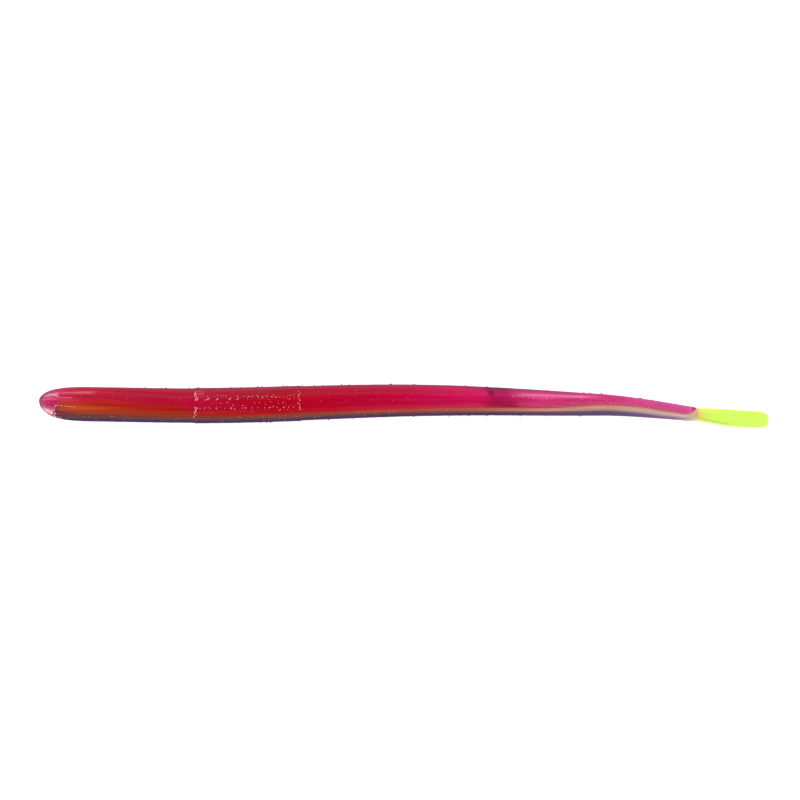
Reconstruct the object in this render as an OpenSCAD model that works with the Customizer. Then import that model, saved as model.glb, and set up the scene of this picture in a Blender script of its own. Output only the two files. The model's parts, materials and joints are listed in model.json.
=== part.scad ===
// Soft plastic worm: a slim straight-tail fishing lure, poured in lengthwise layers.
// It lies on its side on z = 0, nose towards -X, with the belly towards -Y.
// Each pour is cut at the places where the soft body bends.

/* [Worm] */
// Length from the nose to the end of the tail
worm_l = 152.4; // [110:0.1:200]
// Width of the body behind the nose, from belly to back
body_w = 7.2; // [6:0.1:10]
// Height of the body above the surface that it lies on
body_h = 6.8; // [5.5:0.1:9.5]
// Length of the rounded nose
nose_l = 13; // [8:0.5:20]
// How far the nose's tip sits towards the back
nose_shift = 0.6; // [0:0.1:1]
// Distance from the nose at which the taper starts
taper_start = 50; // [40:1:70]
// Width of the body where the tail starts
neck_w = 2.9; // [2.4:0.1:4.5]
// Height of the body where the tail starts
neck_h = 2.7; // [2.2:0.1:4.2]

/* [Collar] */
// Distance from the nose to the collar
collar_start = 32.3; // [28:0.1:36]
// Length of the collar
collar_l = 22.5; // [12:0.5:30]
// How far the collar stands proud of the body
collar_rise = 0.1; // [0.05:0.05:0.3]

/* [Tail] */
// Length of the flat tail
tail_l = 15.2; // [10:0.1:22]
// Width of the tail at its widest
tail_w = 3.65; // [3:0.05:5.5]
// Thickness of the tail
tail_t = 1.4; // [1.1:0.05:2.2]
// Length of the rounding at the tail's end
tail_end_l = 6; // [3:0.5:7]

/* [Pours] */
// Depth of the belly pour, from the belly's edge
belly_d = 0.95; // [0.6:0.05:1.2]
// Depth of the pinstripe pour between belly and back
stripe_d = 0.85; // [0.4:0.05:1]
// Depth of the heart pour where it starts behind the nose
heart_d = 2.7; // [1.5:0.1:2.9]
// Depth of the heart pour where it ends at the collar
heart_end_d = 1.1; // [0.8:0.1:1.5]
// Length of the nose cap, which is all of the back pour
cap_l = 3.8; // [2.5:0.1:6]

/* [Lie] */
// How far the nose lifts towards the back
nose_lift = 0.4; // [0.1:0.1:1.5]
// Length over which the nose lifts
lift_l = 34; // [20:1:40]
// How far the middle bows towards the back
mid_bow = 1.1; // [0.1:0.1:2]
// Distance from the nose to the middle of the bow
bow_at = 81; // [70:1:90]
// Half the length of the bow
bow_half_l = 49; // [40:1:60]
// How far the tail droops towards the belly
tail_drop = 3; // [0:0.1:5]
// Distance from the nose at which the droop starts
drop_start = 114; // [90:1:130]

/* [Flexing] */
// Number of body segments between the nose and the tail
segments = 11; // [11]
// How far a knuckle's round stands past the body's own edge
knuckle_over = 0.1; // [0.05:0.01:0.15]
// Clearance between a knuckle and the socket it turns in
knuckle_gap = 0.22; // [0.2:0.01:0.3]

/* [Hidden] */
body_l = worm_l - tail_l;
segment_l = body_l / segments;
tail_first = segments + 1;
last = segments + 2;
heart_segments = 3;
// Share of the round that is pressed flat under the worm, and that is flat along its back
rest_share = 0.06;
back_share = 0.035;
// Bluntness of the nose's tip and of the tail's end, and how square the tail's section is
nose_blunt = 0.14;
tail_blunt = 0.35;
tail_square = 0.55;
// How the outline curves at the nose, along the taper and at the tail's end
nose_curve = 3.2;
taper_curve = 1.8;
end_curve = 0.4;
// Share of the tail over which it turns from round to flat, and its roundness where that starts
flat_share = 0.45;
root_round = 0.6;
ring_sides = 24;
ring_step = 2.6;
// How much closer rings stand at the nose's tip and at the tail's end
end_crowding = 1.7;
line_step = 5;
knuckle_sides = 64;
eps = 0.01;

SEGMENTS = [for (i = [1 : segments]) i];
HEARTS = [for (i = [1 : heart_segments]) i];

// ---- The worm's outline, by distance s from the nose ----

function clamp(v, low, high) = max(low, min(high, v));
function smooth(u) = let (c = clamp(u, 0, 1)) c * c * (3 - 2 * c);
function mix(a, b, u) = a + (b - a) * u;
function x_at(s) = s - worm_l / 2;

// Sideways course of the middle line, before it is set to zero at mid-length
function course(s) =
    nose_lift * smooth(1 - s / lift_l)
    + mid_bow * pow(cos(90 * clamp((s - bow_at) / bow_half_l, -1, 1)), 2)
    - tail_drop * smooth((s - drop_start) / (worm_l - drop_start));
function y_at(s) = course(s) - course(worm_l / 2);

function taper(s) = pow(clamp((s - taper_start) / (body_l - taper_start), 0, 1), taper_curve);
function collar(s) =
    (s > collar_start && s < collar_start + collar_l) ? 2 * collar_rise : 0;
function nose(s) = s >= nose_l ? 1 : max(nose_blunt, sqrt(1 - pow(1 - s / nose_l, nose_curve)));

// 0 at the tail's start, 1 where it is fully flat
function tail_flat(s) = smooth((s - body_l) / (flat_share * tail_l));
function tail_end(s) =
    let (p = clamp((s - worm_l + tail_end_l) / tail_end_l, 0, 1))
    max(tail_blunt, pow(1 - pow(p, 3), end_curve));

function shoulder_w(s) = mix(body_w, neck_w, taper(s)) + collar(s);
function width_at(s) =
    s > body_l ? mix(neck_w, tail_w, tail_flat(s)) * tail_end(s) : shoulder_w(s) * nose(s);
// Height before the nose and the tail's end are rounded, about the middle of which they are
function height_at(s) =
    s > body_l
    ? mix(neck_h, tail_t, tail_flat(s))
    : mix(body_h, neck_h, taper(s)) + collar(s);
function rounding_at(s) = s > body_l ? mix(root_round, 1, tail_end(s)) : nose(s);

// ---- The skin, as rings across the worm ----

function signed_pow(v, p) = sign(v) * pow(abs(v), p);
function ring(s) =
    let (
        across = width_at(s) / (2 - back_share),
        up = height_at(s) / (2 - rest_share),
        square = mix(1, tail_square, tail_flat(s)),
        middle = y_at(s) - width_at(s) / 2 + across + nose_shift * (1 - nose(s))
    )
    [for (k = [0 : ring_sides - 1])
        let (a = 360 * (k + 0.5) / ring_sides)
        [
            x_at(s),
            middle + across * min(1 - back_share, signed_pow(cos(a), square)),
            up * (1 - rest_share + rounding_at(s) * signed_pow(sin(a), square))
        ]
    ];

// Closed solid through a list of rings, each with the same number of points
module sweep(rings) {
    n = len(rings[0]);
    last_ring = len(rings) - 1;
    points = [for (r = rings) each r];
    faces = concat(
        [[for (k = [n - 1 : -1 : 0]) k]],
        [for (j = [0 : last_ring - 1], k = [0 : n - 1])
            let (a = j * n + k, b = j * n + (k + 1) % n)
            each [[a, b, a + n], [b, b + n, a + n]]
        ],
        [[for (k = [0 : n - 1]) last_ring * n + k]]
    );
    polyhedron(points, faces);
}

// ---- Where it bends ----

// Hinge i joins segment i to segment i + 1
function hinge_s(i) =
    i <= segments ? i * segment_l : i == tail_first ? body_l + tail_l / 2 : worm_l;
function is_sideways(i) = i < segments && i % 2 == 0;
function knuckle_r(i) =
    (is_sideways(i) ? width_at(hinge_s(i)) : height_at(hinge_s(i))) / 2 + knuckle_over;

// Round about hinge i: upright for a sideways bend, level for a bend up and down
module about_hinge(i, gap) {
    s = hinge_s(i);
    if (is_sideways(i))
        translate([x_at(s), y_at(s), -body_h / 2])
            cylinder(r = knuckle_r(i) + gap, h = 2 * body_h, $fn = knuckle_sides);
    else
        translate([x_at(s), y_at(s), height_at(s) / 2])
            rotate([90, 0, 0])
                cylinder(r = knuckle_r(i) + gap, h = 2 * body_w, center = true, $fn = knuckle_sides);
}

// Skin of segment i, longer at both ends than the cuts that shape it
module skin(i) {
    reach = body_w / 2 + 3 * knuckle_over;
    from = i == 1 ? 0 : hinge_s(i - 1) - reach;
    to = i == last ? worm_l : hinge_s(i) + eps;
    steps = ceil((to - from) / (i == 1 || i == last ? ring_step / 2 : ring_step));
    // Rings crowd towards the nose's tip and the tail's end, where the outline turns fast
    function place(u) =
        i == 1 ? pow(u, end_crowding) : i == last ? 1 - pow(1 - u, end_crowding) : u;
    sweep([for (j = [0 : steps]) ring(mix(from, to, place(j / steps)))]);
}

// Space that segment i fills: from its knuckle to its socket, above the resting face
module segment_space(i) {
    x0 = x_at(hinge_s(i - 1)) - (i == 1 ? 1 : 0);
    x1 = x_at(hinge_s(i)) + (i == last ? 1 : 0);
    difference() {
        union() {
            translate([x0, -4 * body_w, 0])
                cube([x1 - x0, 8 * body_w, 2 * body_h]);
            if (i > 1)
                about_hinge(i - 1, 0);
        }
        if (i < last)
            about_hinge(i, knuckle_gap);
        translate([x0 - body_w, -4 * body_w, -body_h])
            cube([x1 - x0 + 2 * body_w, 8 * body_w, body_h]);
    }
}

// ---- The pours ----

function heart_depth(s) =
    mix(heart_d, heart_end_d, clamp((s - cap_l) / (collar_start - cap_l), 0, 1));
// Line at the belly-side edge of a pour: 0 belly, 1 stripe, 2 heart, 3 back above the heart
function pour_line(pour, s) = [
    x_at(s),
    y_at(s) - mix(body_w, neck_w, taper(s)) / 2
    + [-2 * body_w, belly_d, belly_d + stripe_d, belly_d + stripe_d + heart_depth(s)][pour]
];

// Stations that all the pours' lines share, so that neighbours meet along one line
front_steps = ceil((collar_start - cap_l) / line_step);
rear_steps = ceil((worm_l - collar_start) / line_step);
LINE_STATIONS = concat(
    [for (j = [0 : front_steps]) mix(cap_l, collar_start, j / front_steps)],
    [for (j = [1 : rear_steps]) mix(collar_start, worm_l, j / rear_steps)]
);

// Stretch of a layer that covers segment i, upright between two pours' lines
module layer(i, low, high, to) {
    from = hinge_s(i - 1) - body_w - line_step;
    upto = min(to, hinge_s(i) + line_step) + eps;
    stations = [for (s = LINE_STATIONS) if (s > from && s < upto) s];
    translate([0, 0, -body_h])
        linear_extrude(3 * body_h)
            polygon(concat(
                [for (s = stations) pour_line(low, s)],
                [for (j = [len(stations) - 1 : -1 : 0]) pour_line(high, stations[j])]
            ));
}

module segment(i) {
    intersection() {
        skin(i);
        segment_space(i);
    }
}

module belly(i) {
    color("#4e3568")
        intersection() {
            segment(i);
            layer(i, 0, 1, worm_l);
        }
}

module stripe(i) {
    color("#b99a80")
        intersection() {
            segment(i);
            layer(i, 1, 2, worm_l);
        }
}

module heart(i) {
    color("#c0562a")
        intersection() {
            segment(i);
            layer(i, 2, 3, collar_start);
        }
}

module back(i) {
    color(i < 5 ? "#b81233" : i < 8 ? "#c41648" : "#cf4079")
        difference() {
            segment(i);
            layer(i, 0, 2, worm_l);
            if (i <= heart_segments)
                layer(i, 2, 3, collar_start);
        }
}

module tail(i) {
    color("#dcfb68")
        segment(i);
}

for (i = SEGMENTS) {
    back(i);
    stripe(i);
    belly(i);
}
for (i = HEARTS)
    heart(i);
tail(tail_first);  // tail_root
tail(last);  // tail_tip
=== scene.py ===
"""Looks of a soft plastic worm: five pours of plastisol, fused into one slim straight-tail lure.

Sizes inside the classes are in millimetres, as a maker would give them. Meshes are built in millimetres by
Geometry Nodes, and are brought to metres once they are plain meshes.
"""

import json
import logging
import math
from dataclasses import dataclass, field, fields
from enum import Enum
from typing import Callable, Union

import bmesh
import bpy
from mathutils import Matrix, Vector

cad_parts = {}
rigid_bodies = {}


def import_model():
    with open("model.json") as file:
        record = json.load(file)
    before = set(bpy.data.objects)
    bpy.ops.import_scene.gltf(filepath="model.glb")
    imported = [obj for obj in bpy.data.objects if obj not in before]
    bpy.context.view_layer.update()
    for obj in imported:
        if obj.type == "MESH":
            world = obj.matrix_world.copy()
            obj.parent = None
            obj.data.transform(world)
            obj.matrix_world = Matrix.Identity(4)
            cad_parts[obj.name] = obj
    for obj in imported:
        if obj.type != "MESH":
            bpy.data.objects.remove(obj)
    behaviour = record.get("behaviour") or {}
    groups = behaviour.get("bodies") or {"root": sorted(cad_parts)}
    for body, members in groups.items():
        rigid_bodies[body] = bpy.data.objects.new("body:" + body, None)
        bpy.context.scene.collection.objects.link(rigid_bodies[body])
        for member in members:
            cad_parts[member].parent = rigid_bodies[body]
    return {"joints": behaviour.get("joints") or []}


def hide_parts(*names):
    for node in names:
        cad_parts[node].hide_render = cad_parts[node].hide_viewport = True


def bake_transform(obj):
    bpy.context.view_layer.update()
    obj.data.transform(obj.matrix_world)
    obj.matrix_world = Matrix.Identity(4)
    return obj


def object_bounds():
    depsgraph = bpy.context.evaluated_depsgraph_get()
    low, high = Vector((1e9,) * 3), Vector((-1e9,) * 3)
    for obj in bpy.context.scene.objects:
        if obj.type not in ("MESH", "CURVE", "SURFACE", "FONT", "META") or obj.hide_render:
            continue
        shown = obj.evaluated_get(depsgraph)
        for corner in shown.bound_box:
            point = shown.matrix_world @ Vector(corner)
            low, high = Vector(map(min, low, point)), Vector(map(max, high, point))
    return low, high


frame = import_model()
CAD_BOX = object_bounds()
MM = 0.001
log = logging.getLogger("worm")


# ---- Arithmetic that reads the same for plain numbers and for node sockets ----


@dataclass(frozen=True)
class Field:
    """A value in a node tree, which takes ordinary arithmetic."""

    socket: bpy.types.NodeSocket

    def __add__(self, other: "Number") -> "Field":
        """Sum."""
        return operate("ADD", self, other)

    def __radd__(self, other: "Number") -> "Field":
        """Sum, with this value second."""
        return operate("ADD", other, self)

    def __sub__(self, other: "Number") -> "Field":
        """Difference."""
        return operate("SUBTRACT", self, other)

    def __rsub__(self, other: "Number") -> "Field":
        """Difference, with this value second."""
        return operate("SUBTRACT", other, self)

    def __mul__(self, other: "Number") -> "Field":
        """Product."""
        return operate("MULTIPLY", self, other)

    def __rmul__(self, other: "Number") -> "Field":
        """Product, with this value second."""
        return operate("MULTIPLY", other, self)

    def __truediv__(self, other: "Number") -> "Field":
        """Quotient."""
        return operate("DIVIDE", self, other)


Number = Union[float, Field]


def put(socket: bpy.types.NodeSocket, value: object) -> None:
    """Feeds a node's input.

    Args:
        socket: The input.
        value: A Field or an output to link, or a constant to set.
    """
    source = value.socket if isinstance(value, Field) else value
    if isinstance(source, bpy.types.NodeSocket):
        socket.id_data.links.new(source, socket)
    else:
        socket.default_value = source


def operate(operation: str, *values: Number) -> Field:
    """Adds a Math node to the tree that the values are in.

    Args:
        operation: The Math node's operation.
        values: Its inputs, in order, of which one or more are Fields.

    Returns:
        The node's result.
    """
    tree = next(value.socket.id_data for value in values if isinstance(value, Field))
    node = tree.nodes.new("ShaderNodeMath")
    node.operation = operation
    for socket, value in zip(node.inputs, values):
        put(socket, value)
    return Field(node.outputs[0])


def rule(operation: str, plain: Callable[..., float], *values: Number) -> Number:
    """Works an operation out at once for plain numbers, or as a node when any value is a Field.

    Args:
        operation: The Math node's operation.
        plain: The same operation on plain numbers.
        values: What it works on.

    Returns:
        A plain number or a Field.
    """
    in_tree = any(isinstance(value, Field) for value in values)
    return operate(operation, *values) if in_tree else plain(*values)


def smaller(a: Number, b: Number) -> Number:
    """The smaller of two values."""
    return rule("MINIMUM", min, a, b)


def larger(a: Number, b: Number) -> Number:
    """The larger of two values."""
    return rule("MAXIMUM", max, a, b)


def power(a: Number, b: Number) -> Number:
    """One value to the power of another."""
    return rule("POWER", math.pow, a, b)


def cosine(a: Number) -> Number:
    """Cosine of an angle in radians."""
    return rule("COSINE", math.cos, a)


def sine(a: Number) -> Number:
    """Sine of an angle in radians."""
    return rule("SINE", math.sin, a)


def arc_cosine(a: Number) -> Number:
    """Angle in radians that has this cosine."""
    return rule("ARCCOSINE", math.acos, a)


def size_of(a: Number) -> Number:
    """A value without its sign."""
    return rule("ABSOLUTE", abs, a)


def sign_of(a: Number) -> Number:
    """1, 0 or -1."""
    return rule("SIGN", lambda v: float((v > 0) - (v < 0)), a)


def beyond(a: Number, b: Number) -> Number:
    """1 where a is greater than b, else 0."""
    return rule("GREATER_THAN", lambda v, w: float(v > w), a, b)


def clamp(value: Number, low: Number = 0.0, high: Number = 1.0) -> Number:
    """A value held between two others."""
    return larger(low, smaller(high, value))


def smooth(u: Number) -> Number:
    """A smooth step from 0 to 1 as u goes from 0 to 1."""
    c = clamp(u)
    return c * c * (3 - 2 * c)


def mix(a: Number, b: Number, u: Number) -> Number:
    """From a to b as u goes from 0 to 1."""
    return a + (b - a) * u


def bump(value: Number, at: Number, half: Number) -> Number:
    """A smooth hump, 1 at a place and 0 beyond half a width from it."""
    return smooth(1 - size_of(value - at) / half)


def signed_power(value: Number, exponent: Number) -> Number:
    """A power that keeps the sign."""
    return sign_of(value) * power(size_of(value), exponent)


# ---- The worm's form ----


class Line(Enum):
    """Edges of the pours, from the belly to the back."""

    BELLY_EDGE = 0
    BELLY_TOP = 1
    STRIPE_TOP = 2
    HEART_TOP = 3
    BACK_EDGE = 4


@dataclass
class WormForm:
    """The rule that the whole skin follows, by distance s from the nose and angle a round the body.

    The angle is 0 at the back's edge, a quarter turn on the upper side and half a turn at the belly's edge.
    """

    worm_l: Number = 152.4
    tail_l: Number = 15.5
    body_w: Number = 7.2
    body_h: Number = 6.8
    nose_l: Number = 13.0
    nose_curve: Number = 3.7
    nose_shift: Number = 0.6
    taper_start: Number = 50.0
    taper_curve: Number = 1.8
    neck_w: Number = 3.0
    neck_h: Number = 2.7
    tail_w: Number = 3.65
    tail_t: Number = 1.4
    tail_end_l: Number = 4.0
    end_curve: Number = 0.36
    end_square: Number = 4.0
    tail_square: Number = 0.55
    flat_share: Number = 0.45
    rest_share: Number = 0.06
    collar_start: Number = 32.3
    collar_l: Number = 22.5
    collar_rise: Number = 0.1
    rim_rise: Number = 0.04
    rim_half: Number = 0.42
    step_at: Number = 94.4
    step_half: Number = 0.8
    step_depth: Number = 0.04
    belly_d: Number = 0.8
    stripe_d: Number = 0.78
    belly_swell: Number = 0.3
    stripe_swell: Number = 0.32
    stripe_thin: Number = 0.3
    thin_from: Number = 125.0
    thin_run: Number = 8.0
    swell_at: Number = 120.0
    swell_half: Number = 17.0
    heart_d: Number = 2.8
    heart_end_d: Number = 1.1
    heart_fade: Number = 4.5
    heart_tuck: Number = 1.5
    heart_trim: Number = 0.3
    cap_l: Number = 3.8
    cap_from: Number = 2.6
    cap_run: Number = 2.7
    cap_curve: Number = 0.8
    flutes: Number = 22.0
    flute_at: Number = 2.4
    flute_half: Number = 2.2
    flute_rise: Number = 0.025
    nose_lift: Number = 0.4
    lift_l: Number = 34.0
    mid_bow: Number = 1.1
    bow_at: Number = 81.0
    bow_half_l: Number = 49.0
    tail_drop: Number = 3.0
    drop_start: Number = 116.5
    tongue_l: Number = 0.6
    tongue_run: Number = 3.4
    tongue_rise: Number = 1.4
    tongue_from: Number = 134.2
    tongue_curve: Number = 2.6
    tongue_low: Number = 0.3
    tongue_turn: Number = 1.05
    tongue_back: Number = 0.55
    least_half_w: Number = 0.01

    def body_l(self) -> Number:
        """Length of the body in front of the tail."""
        return self.worm_l - self.tail_l

    def heart_end(self) -> Number:
        """Distance from the nose at which the heart has thinned out to nothing, just inside the collar."""
        return self.collar_start + self.heart_tuck

    def course(self, s: Number) -> Number:
        """Sideways course of the middle line, before it is set to zero at mid-length."""
        lift = self.nose_lift * smooth(1 - s / self.lift_l)
        swing = clamp((s - self.bow_at) / self.bow_half_l, -1.0, 1.0) * (math.pi / 2)
        bow = self.mid_bow * power(cosine(swing), 2.0)
        drop = self.tail_drop * smooth((s - self.drop_start) / (self.worm_l - self.drop_start))
        return lift + bow - drop

    def middle(self, s: Number) -> Number:
        """Sideways place of the middle line."""
        return self.course(s) - self.course(self.worm_l / 2)

    def taper(self, s: Number) -> Number:
        """0 along the straight front, growing to 1 at the tail."""
        along = clamp((s - self.taper_start) / (self.body_l() - self.taper_start))
        return power(along, self.taper_curve)

    def nose(self, s: Number) -> Number:
        """Share of the full section, 0 at the nose's tip and 1 behind the nose."""
        back_from_tip = clamp(1 - s / self.nose_l)
        return power(1 - power(back_from_tip, self.nose_curve), 0.5)

    def tail_flat(self, s: Number) -> Number:
        """0 at the tail's start, 1 where it is fully flat."""
        return smooth((s - self.body_l()) / (self.flat_share * self.tail_l))

    def tail_end(self, s: Number) -> Number:
        """Share of the tail's full section, 0 at its very end."""
        p = clamp((s - self.worm_l + self.tail_end_l) / self.tail_end_l)
        return power(1 - power(p, self.end_square), self.end_curve)

    def shoulder(self, s: Number) -> Number:
        """Width of the body before the nose is rounded."""
        return mix(self.body_w, self.neck_w, self.taper(s))

    def width(self, s: Number) -> Number:
        """Width from belly to back."""
        body = self.shoulder(s) * self.nose(s)
        tail = mix(self.neck_w, self.tail_w, self.tail_flat(s)) * self.tail_end(s)
        return mix(body, tail, beyond(s, self.body_l()))

    def height(self, s: Number) -> Number:
        """Height above the rest, before the nose and the tail's end are rounded."""
        body = mix(self.body_h, self.neck_h, self.taper(s))
        tail = mix(self.neck_h, self.tail_t, self.tail_flat(s))
        return mix(body, tail, beyond(s, self.body_l()))

    def rounding(self, s: Number) -> Number:
        """How far the section is rounded in about the middle of its height."""
        # The body's round section turns into the flat tail's over the first part of the tail
        tail = mix(1.0, self.tail_end(s), self.tail_flat(s))
        return mix(self.nose(s), tail, beyond(s, self.body_l()))

    def tip_shift(self, s: Number) -> Number:
        """How far the section is set towards the back by the nose's uneven rounding."""
        return self.nose_shift * (1 - self.nose(s))

    def thinning(self, s: Number) -> Number:
        """How much the pinstripe has thinned near the tail."""
        return self.stripe_thin * smooth((s - self.thin_from) / self.thin_run)

    def edge(self, line: Line, s: Number) -> Number:
        """Sideways place of an inner line between two pours."""
        heart = clamp((s - self.cap_l) / (self.collar_start - self.cap_l))
        swell = bump(s, self.swell_at, self.swell_half)
        depth = self.belly_d + self.belly_swell * swell
        if line in (Line.STRIPE_TOP, Line.HEART_TOP):
            depth = depth + self.stripe_d + self.stripe_swell * swell - self.thinning(s)
        if line is Line.HEART_TOP:
            fade = smooth((self.heart_end() - s) / self.heart_fade)
            depth = depth + mix(self.heart_d, self.heart_end_d, heart) * fade
        curl = power(clamp((s - self.tongue_from) / (self.body_l() - self.tongue_from)), self.tongue_curve)
        depth = depth + curl * self.tongue_rise * (self.tongue_low if line is Line.BELLY_TOP else 1.0)
        return depth - self.shoulder(s) / 2

    def cap_angle(self, s: Number) -> Number:
        """Angle down to which the nose cap is all back pour: half a turn at the tip, none behind it."""
        return math.pi * (1 - power(clamp((s - self.cap_from) / self.cap_run), self.cap_curve))

    def plain_angle(self, line: Line, s: Number) -> Number:
        """Angle of a line on the skin, as if there were no nose cap."""
        if line is Line.BELLY_EDGE:
            return math.pi
        if line is Line.BACK_EDGE:
            return 0.0
        share = (self.edge(line, s) - self.tip_shift(s)) / larger(self.width(s) / 2, self.least_half_w)
        return arc_cosine(clamp(share, -1.0, 1.0))

    def angle(self, line: Line, s: Number) -> Number:
        """Angle of a line on the skin."""
        if line in (Line.BELLY_EDGE, Line.BACK_EDGE):
            return self.plain_angle(line, s)
        return larger(self.plain_angle(line, s), self.cap_angle(s))

    def relief(self, s: Number, a: Number) -> Number:
        """How far the skin stands out of the plain form: collar, rims, step and the nose's flutes."""
        start, end = self.collar_start, self.collar_start + self.collar_l
        collar = smooth((s - start) / self.rim_half) * smooth((end - s) / self.rim_half)
        rims = bump(s, start + self.rim_half, self.rim_half) + bump(s, end - self.rim_half, self.rim_half)
        step = bump(s, self.step_at, self.step_half)
        flutes = cosine(a * self.flutes) * bump(s, self.flute_at, self.flute_half)
        return (self.collar_rise * collar + self.rim_rise * rims - self.step_depth * step
                + self.flute_rise * flutes)

    def slide(self, s: Number, a: Number) -> Number:
        """How far the rounded end of the body reaches over the tail, which it carries along with it."""
        near = bump(s, self.body_l(), self.tongue_run)
        return self.tongue_l * near * (cosine(a - self.tongue_turn) - self.tongue_back)

    def point(self, s: Number, a: Number, rise: Number = 0.0) -> tuple[Number, Number, Number]:
        """Place on the skin.

        Args:
            s: Distance from the nose.
            a: Angle round the body.
            rise: Height above the skin.

        Returns:
            X, Y and Z.
        """
        square = mix(1.0, self.tail_square, self.tail_flat(s))
        out = self.relief(s, a) * self.nose(s) + rise
        across = (self.width(s) / 2 + out) * signed_power(cosine(a), square)
        half_up = self.height(s) / (2 - self.rest_share)
        swell = (half_up * self.rounding(s) + out) * signed_power(sine(a), square)
        up = half_up * (1 - self.rest_share) + swell
        y = self.middle(s) + self.tip_shift(s) + across
        return s - self.worm_l / 2 + self.slide(s, a), y, larger(up, 0.0)


# ---- Node trees ----


class Bench:
    """A node tree under construction."""

    def __init__(self, tree: bpy.types.NodeTree) -> None:
        """Takes up a tree."""
        self.tree = tree

    def node(self, kind: str, settings: dict[str, object] | None = None,
             **inputs: object) -> bpy.types.NodeSocket:
        """Adds a node.

        Args:
            kind: The node's type.
            settings: Values of its own properties.
            inputs: Values of its inputs by name, with spaces written as underscores.

        Returns:
            The first output that it has in use.
        """
        made = self.tree.nodes.new(kind)
        for name, value in (settings or {}).items():
            setattr(made, name, value)
        for name, value in inputs.items():
            label = name.replace("_", " ")
            put(next(i for i in made.inputs if i.name == label and i.enabled), value)
        return next(o for o in made.outputs if o.enabled)

    def parts(self, vector: object) -> list[Field]:
        """X, Y and Z of a vector."""
        return [Field(o) for o in self.node("ShaderNodeSeparateXYZ", Vector=vector).node.outputs]


class Workbench(Bench):
    """A Geometry Nodes tree under construction, with a named input for each size of the form."""

    def __init__(self, name: str) -> None:
        """Starts a tree.

        Args:
            name: The tree's name.
        """
        super().__init__(bpy.data.node_groups.new(name, "GeometryNodeTree"))
        self.tree.interface.new_socket("Geometry", in_out="OUTPUT", socket_type="NodeSocketGeometry")
        self.inputs: dict[str, Field] = {}
        self.values: dict[str, object] = {}
        self.group_input = self.tree.nodes.new("NodeGroupInput")

    def ask(self, name: str, value: object, kind: str = "NodeSocketFloat") -> Field:
        """Adds a named input.

        Args:
            name: What the input is called.
            value: Its value on the modifier.
            kind: Its socket type.

        Returns:
            The input's value in the tree.
        """
        item = self.tree.interface.new_socket(name, in_out="INPUT", socket_type=kind)
        self.values[item.identifier] = value
        socket = next(o for o in self.group_input.outputs if o.identifier == item.identifier)
        self.inputs[name] = Field(socket)
        return self.inputs[name]

    def form(self, form: WormForm) -> WormForm:
        """Adds an input for every size of the form.

        Args:
            form: The form in plain numbers.

        Returns:
            The same form in the tree's own values.
        """
        names = [each.name for each in fields(form)]
        return WormForm(**{name: self.ask(name.replace("_", " "), getattr(form, name)) for name in names})

    def vector(self, x: Number, y: Number, z: Number) -> bpy.types.NodeSocket:
        """Joins three values."""
        return self.node("ShaderNodeCombineXYZ", X=x, Y=y, Z=z)

    def index(self) -> Field:
        """The number of each point."""
        return Field(self.node("GeometryNodeInputIndex"))

    def keep(self, geometry: object, name: str, value: object, kind: str = "FLOAT",
             domain: str = "POINT") -> object:
        """Stores a value on the geometry under a name.

        Args:
            geometry: The geometry so far.
            name: The attribute's name.
            value: What to store.
            kind: Its data type.
            domain: What carries it.

        Returns:
            The geometry with the attribute.
        """
        settings = {"data_type": kind, "domain": domain}
        return self.node("GeometryNodeStoreNamedAttribute", settings, Geometry=geometry, Name=name,
                         Value=value)

    def recall(self, name: str) -> Field:
        """A stored number."""
        return Field(self.node("GeometryNodeInputNamedAttribute", {"data_type": "FLOAT"}, Name=name))

    def chance(self, seed: Number) -> Field:
        """A number between 0 and 1 for each point, the same on each run."""
        return Field(self.node("FunctionNodeRandomValue", {"data_type": "FLOAT"}, Seed=seed))

    def shade(self, geometry: object, corner: float = 40.0) -> object:
        """Shades smooth, with sharp edges at corners."""
        soft = self.node("GeometryNodeSetShadeSmooth", {"domain": "FACE"}, Geometry=geometry,
                         Shade_Smooth=True)
        turn = Field(self.node("GeometryNodeInputMeshEdgeAngle"))
        return self.node("GeometryNodeSetShadeSmooth", {"domain": "EDGE"}, Geometry=soft,
                         Selection=beyond(turn, math.radians(corner)), Shade_Smooth=False)

    def finish(self, geometry: object, material: bpy.types.Material | None = None) -> None:
        """Ends the tree with Realize Instances and Set Material."""
        real = self.node("GeometryNodeRealizeInstances", Geometry=geometry)
        coat = self.ask("Finish", material, "NodeSocketMaterial")
        dressed = self.node("GeometryNodeSetMaterial", Geometry=real, Material=coat)
        put(self.tree.nodes.new("NodeGroupOutput").inputs[0], dressed)

    def make(self, name: str, **changes: object) -> bpy.types.Object:
        """Runs the tree once and keeps its result as a plain mesh in metres.

        Args:
            name: The new piece's name.
            changes: Values that differ from the inputs' own, by input name with underscores for spaces.

        Returns:
            The piece, at the origin, without modifiers.
        """
        holder = bpy.data.objects.new(name + "_rule", bpy.data.meshes.new(name + "_rule"))
        bpy.context.scene.collection.objects.link(holder)
        modifier = holder.modifiers.new("rule", "NODES")
        modifier.node_group = self.tree
        values = dict(self.values)
        for label, value in changes.items():
            values[self.inputs[label.replace("_", " ")].socket.identifier] = value
        for identifier, value in values.items():
            modifier[identifier] = value
        holder.update_tag()
        graph = bpy.context.evaluated_depsgraph_get()
        graph.update()
        mesh = bpy.data.meshes.new_from_object(holder.evaluated_get(graph), depsgraph=graph)
        bpy.data.objects.remove(holder)
        mesh.name = name
        mesh.transform(Matrix.Scale(MM, 4))
        face_outwards(mesh)
        piece = bpy.data.objects.new(name, mesh)
        bpy.context.scene.collection.objects.link(piece)
        return piece


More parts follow.
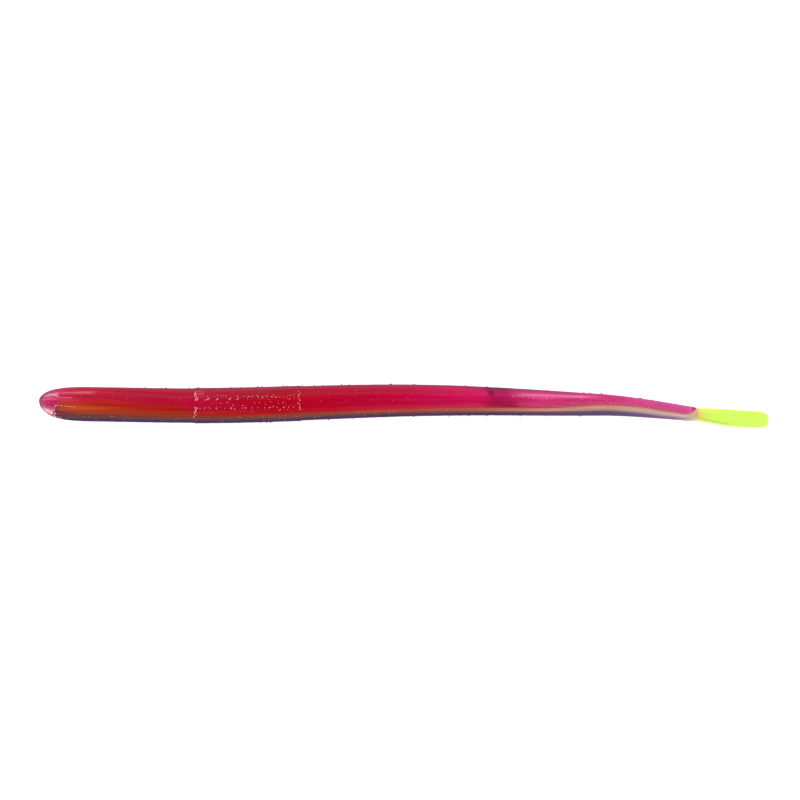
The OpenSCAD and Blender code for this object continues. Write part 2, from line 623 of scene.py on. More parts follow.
def face_outwards(mesh: bpy.types.Mesh) -> None:
    """Turns a closed mesh's faces outwards if they point in.

    Args:
        mesh: The mesh to turn.
    """
    work = bmesh.new()
    work.from_mesh(mesh)
    if work.calc_volume(signed=True) < 0:
        bmesh.ops.reverse_faces(work, faces=work.faces)
        work.to_mesh(mesh)
    work.free()


# ---- Finishes ----


Tints = dict[float, str]
"""Colours by their distance from the nose."""


class Paintbox(Bench):
    """A material under construction."""

    def __init__(self, name: str) -> None:
        """Starts a material.

        Args:
            name: The material's name.
        """
        self.material = bpy.data.materials.new(name)
        self.material.use_nodes = True
        super().__init__(self.material.node_tree)

    def read(self, name: str, part: str) -> bpy.types.NodeSocket:
        """A value stored on the piece, as a "Vector" or as a plain "Fac"."""
        return self.node("ShaderNodeAttribute", {"attribute_name": name}).node.outputs[part]

    def noise(self, place: object, stretch: tuple[float, float, float], detail: float) -> Field:
        """Adds a noise, about a half on average.

        Args:
            place: The coordinates that it is drawn on.
            stretch: How many waves it has to a millimetre along each of them.
            detail: How many finer layers it has.

        Returns:
            The noise.
        """
        stretched = self.node("ShaderNodeMapping", Vector=place, Scale=stretch)
        return Field(self.node("ShaderNodeTexNoise", Vector=stretched, Scale=1.0, Detail=detail))

    def blend(self, share: Number, a: object, b: object) -> bpy.types.NodeSocket:
        """Mixes two colours by a share."""
        return self.node("ShaderNodeMix", {"data_type": "RGBA"}, Factor=share, A=a, B=b)

    def finish(self, **inputs: object) -> bpy.types.Material:
        """Sets the shader.

        Args:
            inputs: Values of its inputs by name, with spaces written as underscores.

        Returns:
            The material.
        """
        for name, value in inputs.items():
            put(self.tree.nodes["Principled BSDF"].inputs[name.replace("_", " ")], value)
        return self.material


@dataclass(frozen=True)
class TintAndLightPatch:
    """A patch in a pour, long along the worm and soft at its edges: a milky or dark tint of the plastic, a
    painted highlight or painted shade.

    Its level is a share of the pour from its low line to its high line; when it is turned, the level is a
    share of half a turn from the back's edge to the belly's.
    """

    start: float
    end: float
    level: float
    half: float
    colour: str
    strength: float
    broken: float = 0.0
    turned: bool = False
    rays: float = 0.0


def linear(colour: str) -> tuple[float, float, float, float]:
    """Light values of a colour.

    Args:
        colour: Six hex digits, as on a display.

    Returns:
        Red, green, blue and full opacity, in linear light.
    """
    parts = [int(colour[i:i + 2], 16) / 255 for i in (0, 2, 4)]
    return (*(p / 12.92 if p <= 0.04045 else ((p + 0.055) / 1.055) ** 2.4 for p in parts), 1.0)


@dataclass(frozen=True)
class PourFinish:
    """Coloured plastisol: tints along the length, others near the pour's edges, patches of tint, painted
    highlight and painted shade, and flow streaks.
    """

    name: str
    core: Tints
    low: Tints = field(default_factory=dict)
    high: Tints = field(default_factory=dict)
    low_reach: float = 0.3
    high_reach: float = 0.2
    blooms: tuple[TintAndLightPatch, ...] = ()
    streaks: float = 0.55
    grain: float = 0.1
    contrast: float = 2.0
    roughness: float = 0.34
    rough_spread: float = 0.3
    specular: float = 0.0
    coat: float = 0.07
    coat_roughness: float = 0.12
    relief: float = 0.02
    speck_relief: float = 0.5
    depth: float = 0.53
    edge_drift: float = 0.18
    bloom_drift: float = 0.1
    bloom_ragged: float = 2.5
    bloom_ends: float = 2.0
    crispness: float = 6.0
    drift_waves: tuple[float, float, float] = (0.12, 0.9, 0.9)
    streak_waves: tuple[float, float, float] = (0.05, 2.8, 2.8)
    speck_waves: tuple[float, float, float] = (3.0, 6.0, 6.0)
    ray_waves: tuple[float, float, float] = (14.0, 1.0, 1.0)
    worm_l: float = 152.4

    def ramp(self, paint: Paintbox, along: Field, tints: Tints) -> bpy.types.NodeSocket:
        """Adds the tints along the worm.

        Args:
            paint: The material under construction.
            along: Distance from the nose.
            tints: The colours and where they are.

        Returns:
            The colour.
        """
        colour = paint.node("ShaderNodeValToRGB", Fac=along / self.worm_l)
        stops = colour.node.color_ramp.elements
        while len(stops) < len(tints):
            stops.new(1.0)
        for stop, (at, tint) in zip(stops, tints.items()):
            stop.position = at / self.worm_l
            stop.color = linear(tint)
        return colour

    def broken(self, noise: Field, share: float) -> Number:
        """A patch's share where a noise breaks it up, more sharply the greater the share."""
        return smooth((noise - 0.5) * self.crispness * share + 0.5)

    def build(self) -> bpy.types.Material:
        """Makes the material.

        Returns:
            The material, which reads each piece's own "grain" and "band".
        """
        paint = Paintbox(self.name)
        grain = paint.read("grain", "Vector")
        along, across, up = paint.parts(grain)
        band = Field(paint.read("band", "Fac"))
        turned = operate("ARCTAN2", size_of(up), across) / math.pi
        drift = paint.noise(grain, self.drift_waves, 2.0)
        streak = paint.noise(grain, self.streak_waves, 4.0)
        speck = paint.noise(grain, self.speck_waves, 2.0)

        wavy_band = band + (drift - 0.5) * self.edge_drift
        colour = self.ramp(paint, along, self.core)
        if self.low:
            from_low = wavy_band / self.low_reach
            colour = paint.blend(smooth(from_low), self.ramp(paint, along, self.low), colour)
        if self.high:
            to_high = (wavy_band - 1 + self.high_reach) / self.high_reach
            colour = paint.blend(smooth(to_high), colour, self.ramp(paint, along, self.high))
        # Patches: tints of the plastic, and painted highlights and painted shade.
        for tint_and_light in self.blooms:
            length = (tint_and_light.end - tint_and_light.start) / 2
            level = (turned if tint_and_light.turned else band) + (drift - 0.5) * self.bloom_drift
            ragged = along + (streak - 0.5) * self.bloom_ragged
            ends = (1 - size_of(ragged - tint_and_light.start - length) / length) * self.bloom_ends
            patch = bump(level, tint_and_light.level, tint_and_light.half) * smooth(ends)
            if tint_and_light.broken:
                patch = patch * self.broken(streak, tint_and_light.broken)
            if tint_and_light.rays:
                ray = paint.noise(paint.node("ShaderNodeCombineXYZ", X=turned), self.ray_waves, 1.0)
                patch = patch * self.broken(ray, tint_and_light.rays)
            colour = paint.blend(patch * tint_and_light.strength, colour, linear(tint_and_light.colour))

        shades = (streak - 0.5) * self.streaks + (speck - 0.5) * self.grain
        level = (1 + shades * self.contrast) * self.depth
        height = (streak + speck * self.speck_relief) * self.relief
        return paint.finish(
            Base_Color=paint.node("ShaderNodeHueSaturation", Color=colour, Value=level),
            Roughness=self.roughness + (speck - 0.5) * self.rough_spread,
            Specular_IOR_Level=self.specular, Coat_Weight=self.coat, Coat_Roughness=self.coat_roughness,
            Normal=paint.node("ShaderNodeBump", Strength=1.0, Distance=MM, Height=height),
        )


@dataclass(frozen=True)
class PlainFinish:
    """An even finish with a slight mottle, for small marks and the floor."""

    name: str
    colour: str
    mottle: float = 0.12
    scale: float = 4.0
    roughness: float = 0.5
    specular: float = 0.2
    glow: float = 0.0
    on_marks: bool = True

    def build(self) -> bpy.types.Material:
        """Makes the material.

        Returns:
            The material, which reads each mark's own "grain" and "station", or else Object coordinates.
        """
        paint = Paintbox(self.name)
        if self.on_marks:
            place = {"Vector": paint.read("grain", "Vector"), "W": paint.read("station", "Fac")}
        else:
            place = {"Vector": paint.node("ShaderNodeTexCoord").node.outputs["Object"]}
        settings = {"noise_dimensions": "4D" if self.on_marks else "3D"}
        noise = Field(paint.node("ShaderNodeTexNoise", settings, Scale=self.scale, **place))
        level = 1 + (noise - 0.5) * self.mottle
        return paint.finish(
            Base_Color=paint.node("ShaderNodeHueSaturation", Color=linear(self.colour), Value=level),
            Roughness=self.roughness, Specular_IOR_Level=self.specular,
            Emission_Color=(1.0, 1.0, 1.0, 1.0), Emission_Strength=self.glow,
        )


BACK_FINISH = PourFinish(
    name="back_plastisol",
    # In the core, the dip from 95 to 98 mm is painted shade at the step.
    core={0: "7c4450", 0.5: "a8486c", 1.1: "cc3c74", 3.6: "cc2860", 6: "c01c44", 9: "b81030", 30: "bc0c34",
          50: "b60420", 58: "c0022a", 75: "c4063a", 86: "ce0e52", 93.2: "cc165a", 95: "b81454", 98: "bc1c56",
          104: "d83478", 120: "cc3876", 135: "d85096", 135.9: "dc5c96", 136.5: "983064", 136.9: "702048"},
    low={0: "d84478", 10: "c02a28", 32: "b01c18", 48: "b00c14", 62: "c01028", 90: "c82c44", 110: "c45060",
         136.1: "d87890", 136.9: "8a3058"},
    # Greyish mauve towards the back's edge: painted grazing reflection along the outline.
    high={0: "7c4048", 3: "a04860", 16: "903c54", 50: "883850", 90: "883858", 137: "ac5a88"},
    low_reach=0.25,
    high_reach=0.5,
    blooms=(
        # Pale pink band along the taper's upper flank: painted highlight.
        TintAndLightPatch(97.5, 118, 0.52, 0.15, "f484bc", 0.55),
        # Darker patches round the step at 94 mm and along the back's edge behind it: painted shade.
        TintAndLightPatch(92, 100.5, 0.1, 0.24, "940c2c", 0.65),
        TintAndLightPatch(93.8, 98.5, 0.45, 0.4, "a00e58", 0.35),
        TintAndLightPatch(93.4, 95.0, 0.56, 0.3, "5c0030", 0.65),
        TintAndLightPatch(91.5, 99.5, 0.78, 0.3, "6c1844", 0.6),
        TintAndLightPatch(94, 113, 0.95, 0.26, "5c304c", 0.75),
        TintAndLightPatch(2, 92, 0.55, 0.24, "8c061e", 0.28),
        # Pale rays over the nose: painted highlight.
        TintAndLightPatch(0.4, 4.4, 0.44, 0.36, "ec8cb0", 0.5, turned=True, rays=0.9),
        TintAndLightPatch(0.7, 4.8, 0.52, 0.17, "c40c58", 0.75, turned=True),
        # Pale wedges on the nose, lower and upper: painted highlights.
        TintAndLightPatch(0.9, 4.8, 0.29, 0.075, "f0b4c8", 0.8, turned=True, rays=0.4),
        TintAndLightPatch(0.6, 4.0, 0.76, 0.16, "f4ccd8", 0.95, turned=True),
        # Pale haze on the upper flank behind the nose: painted highlight.
        TintAndLightPatch(4.0, 13.0, 0.26, 0.08, "dc7c94", 0.5, 0.4, turned=True),
        # A dark line with a broken pale line nearer the back, along the front body: painted shade in a
        # lengthwise crease and painted highlight along its edge.
        TintAndLightPatch(2, 32, 0.3, 0.05, "900828", 0.6, 0.6),
        TintAndLightPatch(4, 32, 0.5, 0.06, "e04870", 0.35, 0.9),
        # Pale patch at the collar's front rim: painted highlight.
        TintAndLightPatch(32.5, 34.8, 0.25, 0.08, "e08898", 0.45, 0.5, turned=True),
        TintAndLightPatch(56, 93, 0.2, 0.07, "a00838", 0.5, 0.8),
        TintAndLightPatch(99, 134, 0.3, 0.06, "a82060", 0.5, 0.8),
    ),
)
HEART_FINISH = PourFinish(
    name="heart_plastisol",
    core={3: "7c3044", 4.6: "b84030", 8: "c44c1c", 20: "b4300e", 33: "aa2812"},
    low={3: "502848", 5.5: "683040", 9: "8a3c30", 32: "8a3820"},
    high={3: "c43460", 5: "c43434", 14: "bc1a20", 33: "b41420"},
    low_reach=0.4,
    high_reach=0.5,
)
STRIPE_FINISH = PourFinish(
    name="stripe_plastisol",
    core={3: "482848", 6: "683838", 30: "80381e", 60: "8e4230", 80: "a84c3c", 95: "b06858", 106: "cc9080",
          120: "d0a488", 132: "e8c0b8", 135.4: "e0b4a4", 137.2: "dcc880"},
    low={0: "644048", 60: "683c40", 95: "74504e", 120: "9a8084", 137: "d0c0a8"},
    high={0: "983e20", 40: "a02c14", 80: "b43c40", 110: "cc7074", 137: "dc9c88"},
    low_reach=0.35,
    high_reach=0.45,
    roughness=0.4,
)
BELLY_FINISH = PourFinish(
    name="belly_plastisol",
    core={2: "3c2c5c", 10: "402c58", 40: "462c54", 95: "50304e", 118: "60466f", 127: "705680",
          132.7: "987094", 135.4: "b8aab0", 137.2: "d4d0b0"},
    high={0: "60444a", 60: "644244", 95: "6c4c4c", 118: "746078", 137: "c8bca8"},
    high_reach=0.3,
    streaks=0.35,
)
TAIL_FINISH = PourFinish(
    name="tail_plastisol",
    core={137: "dca070", 137.7: "dcd068", 139: "cce45c", 142: "cbf45c", 152: "cef860"},
    low={137: "d4d0a8", 140: "e4ecb0", 152: "f0fac8"},
    low_reach=0.3,
    # Olive line along the tail's crease: painted shade.
    blooms=(TintAndLightPatch(136.4, 145.5, 0.33, 0.07, "848c4c", 0.45),),
    streaks=0.08,
    grain=0.06,
    roughness=0.45,
    specular=0.1,
    depth=0.66,
)
BUBBLE_FINISH = PlainFinish("bubble_skin", "30101c", roughness=0.25)
# Pale pink of glints on raised beads and dashes: painted highlight on real relief.
GLINT_FINISH = PlainFinish("milky_fleck", "c8808c", roughness=0.3, specular=0.1)
# Paler glints for the nose and the pours' fronts: painted highlight on raised beads.
NOSE_GLINT_FINISH = PlainFinish("pale_fleck", "d8acbc", roughness=0.25)
FLECK_FINISH = PlainFinish("rosy_fleck", "a84058", roughness=0.3, specular=0.1)
FLOOR_FINISH = PlainFinish("white_sweep", "fafafa", mottle=0.01, scale=20.0, roughness=0.8, specular=0.1,
                           glow=0.25, on_marks=False)


# ---- Pieces ----


class Slot(Enum):
    """The record's material slots."""

    BACK = "back_pour"
    STRIPE = "stripe_pour"
    BELLY = "belly_pour"
    HEART = "heart_pour"
    TAIL = "tail_pour"


@dataclass
class Flexing:
    """Where the worm bends: its bodies, nose first, and the stretch of skin that goes with each bend."""

    form: WormForm
    bodies: list[str] = field(default_factory=list)
    hinges: list[float] = field(default_factory=list)

    def __post_init__(self) -> None:
        """Reads the joints in order from the nose."""
        joints = sorted(frame["joints"], key=lambda j: j["pos_m"][0])
        self.bodies = [joints[0]["parent"]] + [j["child"] for j in joints]
        self.hinges = [j["pos_m"][0] / MM + self.form.worm_l / 2 for j in joints]

    def middle_of(self, segment: int) -> float:
        """Distance from the nose to the middle of a segment, counted from 1."""
        ends = [0.0] + self.hinges + [self.form.worm_l]
        return (ends[segment - 1] + ends[segment]) / 2

    def stretch(self, bend: int) -> tuple[float, float]:
        """Start and end of the skin that bends at a hinge, counted from 1."""
        start = 0.0 if bend == 1 else self.middle_of(bend)
        end = self.form.worm_l if bend == len(self.hinges) else self.middle_of(bend + 1)
        return start, end

    def carry(self, piece: bpy.types.Object, bend: int) -> None:
        """Bakes a piece's placing into its mesh; the piece is not tied to the hinge.

        Args:
            piece: The piece, final and at the origin.
            bend: The hinge, counted from 1.
        """
        places = [(self.middle_of(i) - self.form.worm_l / 2) * MM for i in (bend, bend + 1)]
        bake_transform(piece)


@dataclass
class Pour:
    """One pour of plastisol: a lengthwise band of the worm, as a closed solid in each bend."""

    name: str
    slot: Slot
    finish: PourFinish
    form: WormForm
    flexing: Flexing
    low: Line
    high: Line
    last: float
    first: float = 0.0
    ring_step: float = 0.25
    arc: int = 28
    nose_crowding: float = 1.0
    end_crowding: float = 1.0
    least_l: float = 0.5
    least_rings: int = 4
    merge_gap: float = 0.002
    halvings: int = 40

    def rule(self, material: bpy.types.Material) -> Workbench:
        """Builds the tree that makes a stretch of this pour from the worm's form.

        Args:
            material: The pour's finish.

        Returns:
            The tree, ready to make pieces.
        """
        bench = Workbench(self.name + "_rule")
        start = bench.ask("Start", 0.0)
        end = bench.ask("End", 1.0)
        rings = bench.ask("Rings", 10, "NodeSocketInt")
        arc = bench.ask("Arc points", self.arc, "NodeSocketInt")
        crowd_in = bench.ask("Crowding at start", 1.0)
        crowd_out = bench.ask("Crowding at end", 1.0)
        form = bench.form(self.form)

        line = bench.node("GeometryNodeCurvePrimitiveLine")
        path = bench.node("GeometryNodeResampleCurve", Curve=line, Count=rings)
        along = Field(bench.node("GeometryNodeSplineParameter"))
        eased = 1 - power(1 - power(along, crowd_in), crowd_out)
        path = bench.keep(path, "station", mix(start, end, eased))
        circle = bench.node("GeometryNodeCurvePrimitiveCircle", Resolution=arc * 2, Radius=1.0)
        profile = bench.keep(circle, "turn", bench.index())
        tube = bench.node("GeometryNodeCurveToMesh", Curve=path, Profile_Curve=profile, Fill_Caps=True)

        s, turn = bench.recall("station"), bench.recall("turn")
        lower = beyond(turn, arc - 0.5)
        step = (turn - arc * lower) / (arc - 1)
        down = mix(step, 1 - step, lower)
        angle = mix(form.angle(self.high, s), form.angle(self.low, s), down) * (1 - 2 * lower)
        x, y, z = form.point(s, angle, self.rise(form, s))
        placed = bench.node("GeometryNodeSetPosition", Geometry=tube, Position=bench.vector(x, y, z))
        half = form.width(s) / 2
        grain = bench.vector(s, half * cosine(angle), half * sine(angle))
        placed = bench.keep(placed, "grain", grain, "FLOAT_VECTOR")
        placed = bench.keep(placed, "band", 1 - down)
        wrap = bench.vector(s / form.worm_l, angle / (2 * math.pi) + 0.5, 0.0)
        placed = bench.keep(placed, "UVMap", wrap, "FLOAT2", "CORNER")
        merged = bench.node("GeometryNodeMergeByDistance", Geometry=placed, Distance=self.merge_gap)
        bench.finish(bench.shade(merged), material)
        return bench

    def rise(self, form: WormForm, s: Number) -> Number:
        """How far this pour stands above the plain form."""
        return 0.0

    def start_of(self) -> float:
        """Distance from the nose at which this pour shows, behind the nose cap."""
        low, high = self.form.cap_from, self.form.cap_from + self.form.cap_run
        if self.high is Line.BACK_EDGE:
            return self.first
        for _ in range(self.halvings):
            s = (low + high) / 2
            hidden = self.form.cap_angle(s) >= self.form.plain_angle(self.low, s)
            low, high = (s, high) if hidden else (low, s)
        return high

    def build(self) -> list[bpy.types.Object]:
        """Makes one closed piece for each bend, dresses it and bakes its placing into its mesh.

        Returns:
            The pieces.
        """
        bench = self.rule(self.finish.build())
        made = []
        first = self.start_of()
        for bend in range(1, len(self.flexing.hinges) + 1):
            start, end = self.flexing.stretch(bend)
            start, end = max(start, first), min(end, self.last)
            if end - start < self.least_l:
                continue
            node = self.node_for(bend)
            piece = bench.make(
                node + "_skin", Start=start, End=end,
                Rings=max(self.least_rings, round((end - start) / self.ring_step)),
                Crowding_at_start=self.nose_crowding if bend == 1 else 1.0,
                Crowding_at_end=self.end_crowding if bend == len(self.flexing.hinges) else 1.0,
            )
            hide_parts(node)
            self.flexing.carry(piece, bend)
            log.info("%s: %.1f to %.1f mm, %d faces", piece.name, start, end, len(piece.data.polygons))
            made.append(piece)
        return made

    def node_for(self, bend: int) -> str:
        """Name of the solid that a piece stands for."""
        return f"{self.name}_{bend}"


@dataclass
class TailPour(Pour):
    """The flat tail: a pour of its own, whole across its section."""

    tuck: float = 0.16
    tuck_l: float = 2.5

    def rise(self, form: WormForm, s: Number) -> Number:
        """How far this pour stands above the plain form: its root is tucked a little under the body's end."""
        return smooth(1 - (s - form.body_l()) / self.tuck_l) * -self.tuck

    def node_for(self, bend: int) -> str:
        """Name of the solid that a piece stands for."""
        return "tail_tip" if bend == len(self.flexing.hinges) else "tail_root"


def mark_rule(form: WormForm) -> Workbench:
    """Builds the tree that sets small marks on the skin, in a row, round a ring or scattered over a patch.

    Args:
        form: The worm's form.

    Returns:
        The tree, with an input for each choice of a set of marks.
    """
    bench = Workbench("mark_rule")
    count = bench.ask("Count", 1, "NodeSocketInt")
    seed = bench.ask("Seed", 1, "NodeSocketInt")
    names = ("Start", "End", "Turn from", "Turn to", "Loose", "Wander", "Jitter", "Length", "Breadth",
             "Height", "Tilt")
    start, end, turn_from, turn_to, loose, wander, jitter, length, breadth, height, tilt = (
        bench.ask(name, 0.0) for name in names)
    low, high = bench.ask("Keep from", 0.0), bench.ask("Keep to", 0.0)
    rule_form = bench.form(form)

    points = bench.node("GeometryNodePoints", Count=count)
    share = (bench.index() + 0.5 + (bench.chance(seed) - 0.5) * jitter) / count
    s = mix(start, end, mix(share, bench.chance(seed + 1), loose)) + (bench.chance(seed + 4) - 0.5) * wander
    turn = mix(turn_from, turn_to, mix(share, bench.chance(seed + 2), loose))
    points = bench.keep(points, "station", s)
    points = bench.keep(points, "turn", turn)
    s, turn = bench.recall("station"), bench.recall("turn")
    place = bench.vector(*rule_form.point(s, turn))
    points = bench.node("GeometryNodeSetPosition", Geometry=points, Position=place)
    away = larger(beyond(low, s), beyond(s, high))
    points = bench.node("GeometryNodeDeleteGeometry", {"domain": "POINT"}, Geometry=points, Selection=away)
    bead = bench.node("GeometryNodeMeshIcoSphere", Radius=0.5, Subdivisions=1)
    bead = bench.keep(bead, "grain", bench.node("GeometryNodeInputPosition"), "FLOAT_VECTOR")
    bead = bench.node("GeometryNodeTransform", Geometry=bead, Scale=bench.vector(length, breadth, height * 2))
    bead = bench.node("GeometryNodeTransform", Geometry=bead, Rotation=bench.vector(0.0, 0.0, tilt))
    size = bench.ask("Least size", 0.65) + bench.chance(seed + 3) * bench.ask("Size spread", 0.6)
    beads = bench.node("GeometryNodeInstanceOnPoints", Points=points, Instance=bead,
                       Rotation=bench.vector(turn - math.pi / 2, 0.0, 0.0),
                       Scale=bench.vector(size, size, 1.0))
    bench.finish(bench.shade(beads, corner=180.0))
    return bench


@dataclass
class Marks:
    """One set of small raised beads or dashes on the skin."""

    name: str
    count: int
    start: float
    end: float
    turn_from: float
    turn_to: float
    length: float
    breadth: float
    height: float = 0.03
    slot: Slot = Slot.BACK
    finish: PlainFinish = GLINT_FINISH
    tilt: float = 0.0
    loose: float = 0.0
    wander: float = 0.0
    jitter: float = 0.3
    seed: int = 1

    def build(self, bench: Workbench, flexing: Flexing,
              material: bpy.types.Material) -> list[bpy.types.Object]:
        """Makes one piece for each bend that has marks, and bakes its placing into its mesh.

        Args:
            bench: The tree that sets marks.
            flexing: Where the worm bends.
            material: The marks' finish.

        Returns:
            The pieces.
        """
        made = []
        for bend in range(1, len(flexing.hinges) + 1):
            low, high = flexing.stretch(bend)
            if high < self.start - self.wander or low > self.end + self.wander:
                continue
            piece = bench.make(
                f"{self.name}_{bend}", Keep_from=low, Keep_to=high, Count=self.count, Start=float(self.start),
                End=float(self.end), Turn_from=math.radians(self.turn_from),
                Turn_to=math.radians(self.turn_to),
                Length=self.length, Breadth=self.breadth, Height=self.height, Tilt=math.radians(self.tilt),
                Loose=self.loose, Wander=self.wander, Jitter=self.jitter, Seed=self.seed, Finish=material)
            if not piece.data.vertices:
                bpy.data.objects.remove(piece)
                continue
            flexing.carry(piece, bend)
            log.info("%s: %d faces", piece.name, len(piece.data.polygons))
            made.append(piece)
        return made


@dataclass
class Studio:
    """White sweep, soft light and the camera straight above the worm."""

    frame_w: float = 166.8
    lens: float = 200.0
    sensor: float = 36.0
    aim: tuple[float, float] = (-0.9, 0.1)
    middle_z: float = 3.4
    sweep_half: float = 900.0
    tent_side: float = 2.9
    tent_top: float = 0.5
    dim_from: float = 0.45
    dim_run: float = 0.45
    key_place: tuple[float, float, float] = (0.1, 0.8, 0.5)
    key_size: tuple[float, float] = (0.9, 0.4)
    key_watts: float = 2.0
    clip: tuple[float, float] = (0.01, 20.0)

    def floor(self) -> None:
        """Lays the sweep."""
        half = self.sweep_half * MM
        corners = [(-half, -half, 0), (half, -half, 0), (half, half, 0), (-half, half, 0)]
        mesh = bpy.data.meshes.new("sweep")
        mesh.from_pydata(corners, [], [(0, 1, 2, 3)])
        sweep = bpy.data.objects.new("sweep", mesh)
        mesh.materials.append(FLOOR_FINISH.build())
        bpy.context.scene.collection.objects.link(sweep)

    def light(self) -> None:
        """Sets a soft tent of light that is darker straight above, and one soft box."""
        world = bpy.data.worlds.new("tent")
        bpy.context.scene.world = world
        world.use_nodes = True
        bench = Bench(world.node_tree)
        up = bench.parts(bench.node("ShaderNodeTexCoord").node.outputs["Generated"])[2]
        back = bench.tree.nodes["Background"]
        put(back.inputs["Color"], (1.0, 1.0, 1.0, 1.0))
        dimmed = smooth((up - self.dim_from) / self.dim_run)
        put(back.inputs["Strength"], mix(self.tent_side, self.tent_top, dimmed))

        key = bpy.data.lights.new("key_box", "AREA")
        key.shape = "RECTANGLE"
        key.size, key.size_y = self.key_size
        key.energy = self.key_watts
        lamp = bpy.data.objects.new("key_box", key)
        lamp.location = self.key_place
        lamp.rotation_euler = (-Vector(self.key_place)).to_track_quat("-Z", "Y").to_euler()
        bpy.context.scene.collection.objects.link(lamp)

    def camera(self) -> None:
        """Hangs the camera over the worm, looking straight down with the back upwards in the view."""
        data = bpy.data.cameras.new("camera")
        data.lens = self.lens
        data.sensor_width = self.sensor
        data.clip_start, data.clip_end = self.clip
        camera = bpy.data.objects.new("camera", data)
        distance = self.frame_w * self.lens / self.sensor
        camera.location = (self.aim[0] * MM, self.aim[1] * MM, (distance + self.middle_z) * MM)
        bpy.context.scene.collection.objects.link(camera)
        bpy.context.scene.camera = camera
        bpy.context.scene.view_settings.view_transform = "Standard"

    def build(self) -> None:
        """Sets the studio up."""
        self.floor()
        self.light()
        self.camera()


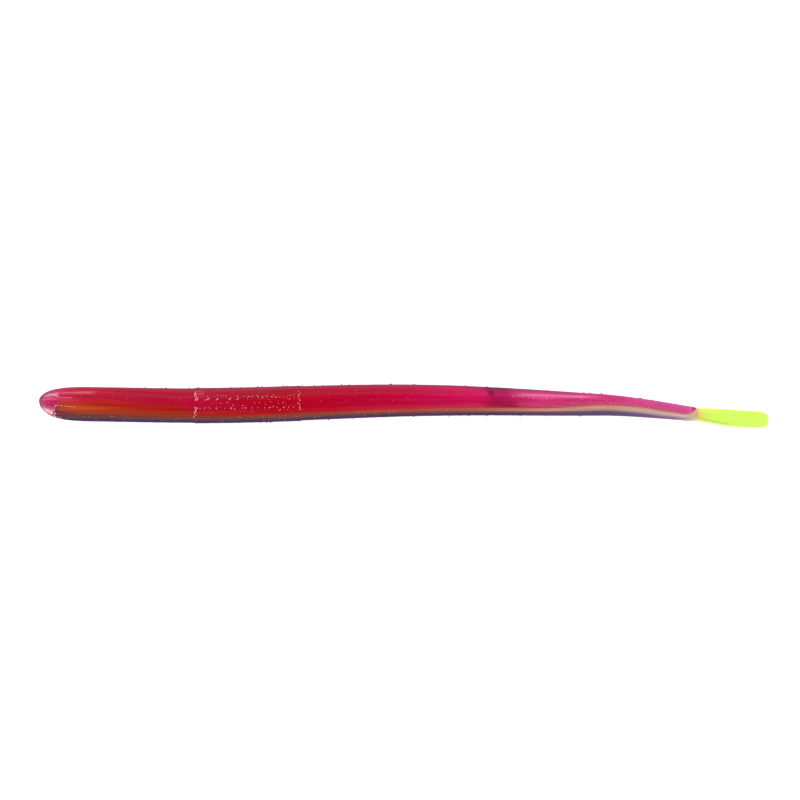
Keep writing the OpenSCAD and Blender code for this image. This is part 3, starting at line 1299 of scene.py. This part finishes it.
def marks_of(form: WormForm) -> list[Marks]:
    """Lists the worm's small marks: bubbles, the collar's rims and pips, the nose's flutes and flow flecks.

    Args:
        form: The worm's form.

    Returns:
        The sets of marks.
    """
    front, rear = form.collar_start, form.collar_start + form.collar_l
    # Marks in GLINT_FINISH, the default, and in NOSE_GLINT_FINISH are raised beads whose pale colour is a
    # painted highlight.
    return [
        Marks("bubble_back", 28, 14, 134, -8, 8, 0.32, 0.3, 0.24, finish=BUBBLE_FINISH, loose=1.0, seed=5),
        Marks("bubble_belly", 13, 12, 126, 173, 187, 0.32, 0.3, 0.24, slot=Slot.BELLY, finish=BUBBLE_FINISH,
              loose=1.0, seed=9),
        Marks("collar_front_rim", 9, front + 0.2, front + 0.9, 42, 76, 0.2, 0.55, 0.05, tilt=-28, wander=0.5,
              seed=21, jitter=0.8),
        Marks("collar_front_rim_low", 11, front + 0.6, front + 0.3, 94, 134, 0.24, 0.42, 0.05, tilt=12,
              wander=0.5, seed=26, jitter=0.8),
        Marks("collar_rear_rim", 14, rear - 0.5, rear - 0.3, 44, 116, 0.16, 0.3, 0.04, wander=0.6, seed=31,
              jitter=0.8),
        Marks("collar_ticks", 4, front + 2, front + 10.6, 68, 70, 0.95, 0.2, 0.06, tilt=38, seed=41),
        Marks("collar_dots_high", 13, front + 9, rear - 1.2, 60, 70, 0.26, 0.2, 0.05, wander=0.6, seed=46),
        Marks("collar_sparks", 44, front + 2, rear - 0.8, 54, 112, 0.16, 0.16, 0.04, loose=1.0, seed=47),
        Marks("collar_dots", 17, front + 0.8, rear - 1, 99, 101, 0.18, 0.36, 0.05, wander=0.7, seed=51),
        Marks("collar_specks", 130, front + 1, rear - 0.8, 48, 116, 0.13, 0.11, finish=FLECK_FINISH,
              loose=1.0, seed=61),
        Marks("nose_glints", 20, 2.0, 3.9, 126, 160, 0.4, 0.2, finish=NOSE_GLINT_FINISH, tilt=-40, loose=1.0,
              seed=65),
        Marks("nose_glints_high", 6, 2.2, 4.2, 46, 62, 0.5, 0.12, finish=NOSE_GLINT_FINISH, tilt=-34,
              seed=68),
        Marks("nose_line", 9, 4.2, 7.2, 67, 69, 0.4, 0.08, jitter=0.9, seed=67),
        Marks("heart_front", 9, 3.5, 3.4, 98, 150, 0.14, 0.24, slot=Slot.HEART, finish=NOSE_GLINT_FINISH,
              wander=0.3, seed=63),
        Marks("belly_front", 9, 3.3, 4.8, 148, 166, 0.4, 0.12, slot=Slot.BELLY, finish=NOSE_GLINT_FINISH,
              tilt=-16, loose=1.0, seed=64),
        Marks("heart_line", 14, 3.6, 7.8, 97, 100, 0.3, 0.14, slot=Slot.HEART, jitter=0.9, seed=66),
        Marks("nose_flutes", 12, 1.2, 3.6, 60, 120, 0.9, 0.06, 0.02, finish=FLECK_FINISH, loose=1.0,
              seed=69),
        Marks("flow_flecks_front", 34, 8, front - 1, 60, 80, 0.4, 0.07, 0.02, finish=FLECK_FINISH, loose=1.0,
              seed=71),
        Marks("flow_flecks_mid", 50, 58, 94, 48, 96, 0.4, 0.08, 0.02, finish=FLECK_FINISH, loose=1.0,
              seed=81),
        Marks("taper_dots", 15, 98.4, 106, 66, 72, 0.26, 0.13, 0.04, wander=0.4, jitter=0.9, seed=88),
        Marks("flow_flecks_rear", 40, 100, 134, 58, 86, 0.3, 0.08, loose=1.0, seed=91),
        Marks("belly_flecks", 64, 4, 75, 128, 152, 0.2, 0.1, slot=Slot.BELLY, loose=1.0, seed=101),
    ]


def main() -> None:
    """Builds the studio and the worm's pours."""
    logging.basicConfig(level=logging.INFO, format="%(message)s")
    Studio().build()
    low, high = CAD_BOX
    form = WormForm(worm_l=(high[0] - low[0]) / MM)
    flexing = Flexing(form)
    end = form.body_l()
    pours = [
        Pour("back", Slot.BACK, BACK_FINISH, form, flexing, Line.HEART_TOP, Line.BACK_EDGE, end,
             nose_crowding=1.9),
        Pour("heart", Slot.HEART, HEART_FINISH, form, flexing, Line.STRIPE_TOP, Line.HEART_TOP,
             form.heart_end() - form.heart_trim, arc=16),
        Pour("stripe", Slot.STRIPE, STRIPE_FINISH, form, flexing, Line.BELLY_TOP, Line.STRIPE_TOP, end,
             arc=12),
        Pour("belly", Slot.BELLY, BELLY_FINISH, form, flexing, Line.BELLY_EDGE, Line.BELLY_TOP, end, arc=16),
        TailPour("tail", Slot.TAIL, TAIL_FINISH, form, flexing, Line.BELLY_EDGE, Line.BACK_EDGE, form.worm_l,
                 first=end, end_crowding=1.9),
    ]
    for pour in pours:
        log.info("%s: %d pieces", pour.name, len(pour.build()))
    bench = mark_rule(form)
    marks = marks_of(form)
    coats = {finish: finish.build() for finish in dict.fromkeys(each.finish for each in marks)}
    for each in marks:
        log.info("%s: %d pieces", each.name, len(each.build(bench, flexing, coats[each.finish])))


if __name__ == "__main__":
    main()
